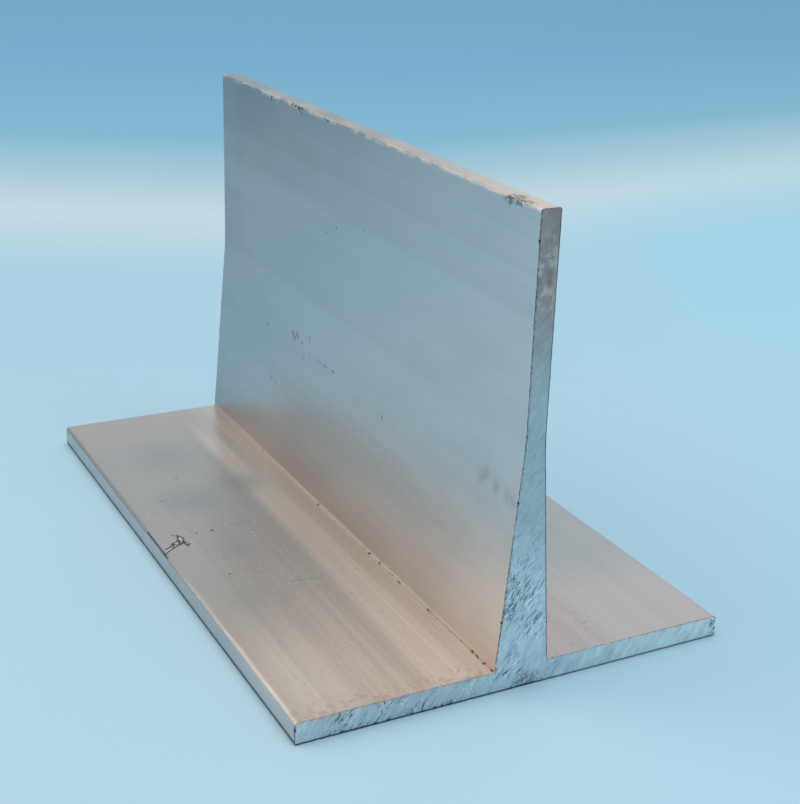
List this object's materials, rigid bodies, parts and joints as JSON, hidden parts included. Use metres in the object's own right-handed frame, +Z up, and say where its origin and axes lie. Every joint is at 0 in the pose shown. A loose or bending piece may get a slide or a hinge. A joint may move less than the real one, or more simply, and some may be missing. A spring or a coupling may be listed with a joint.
{
  "type": "aluminium tee section",
  "caption": "Short length of extruded aluminium tee stock with a flat flange and an upright web that thickens towards its root; sawn square at the ends.",
  "frame": {"origin": "middle of the flange's underside, half way along the length", "axes": "+X across the flange, +Y along the extrusion, away from the near sawn end, +Z up the web"},
  "size_m": [0.1, 0.16, 0.1],
  "materials": {
    "mill_aluminium": "mill finish: satin, with fine die lines along the length, handling marks and coarse saw marks on the ends"
  },
  "bodies": {
    "root": {"tee_bar": "mill_aluminium"}
  },
  "joints": []
}
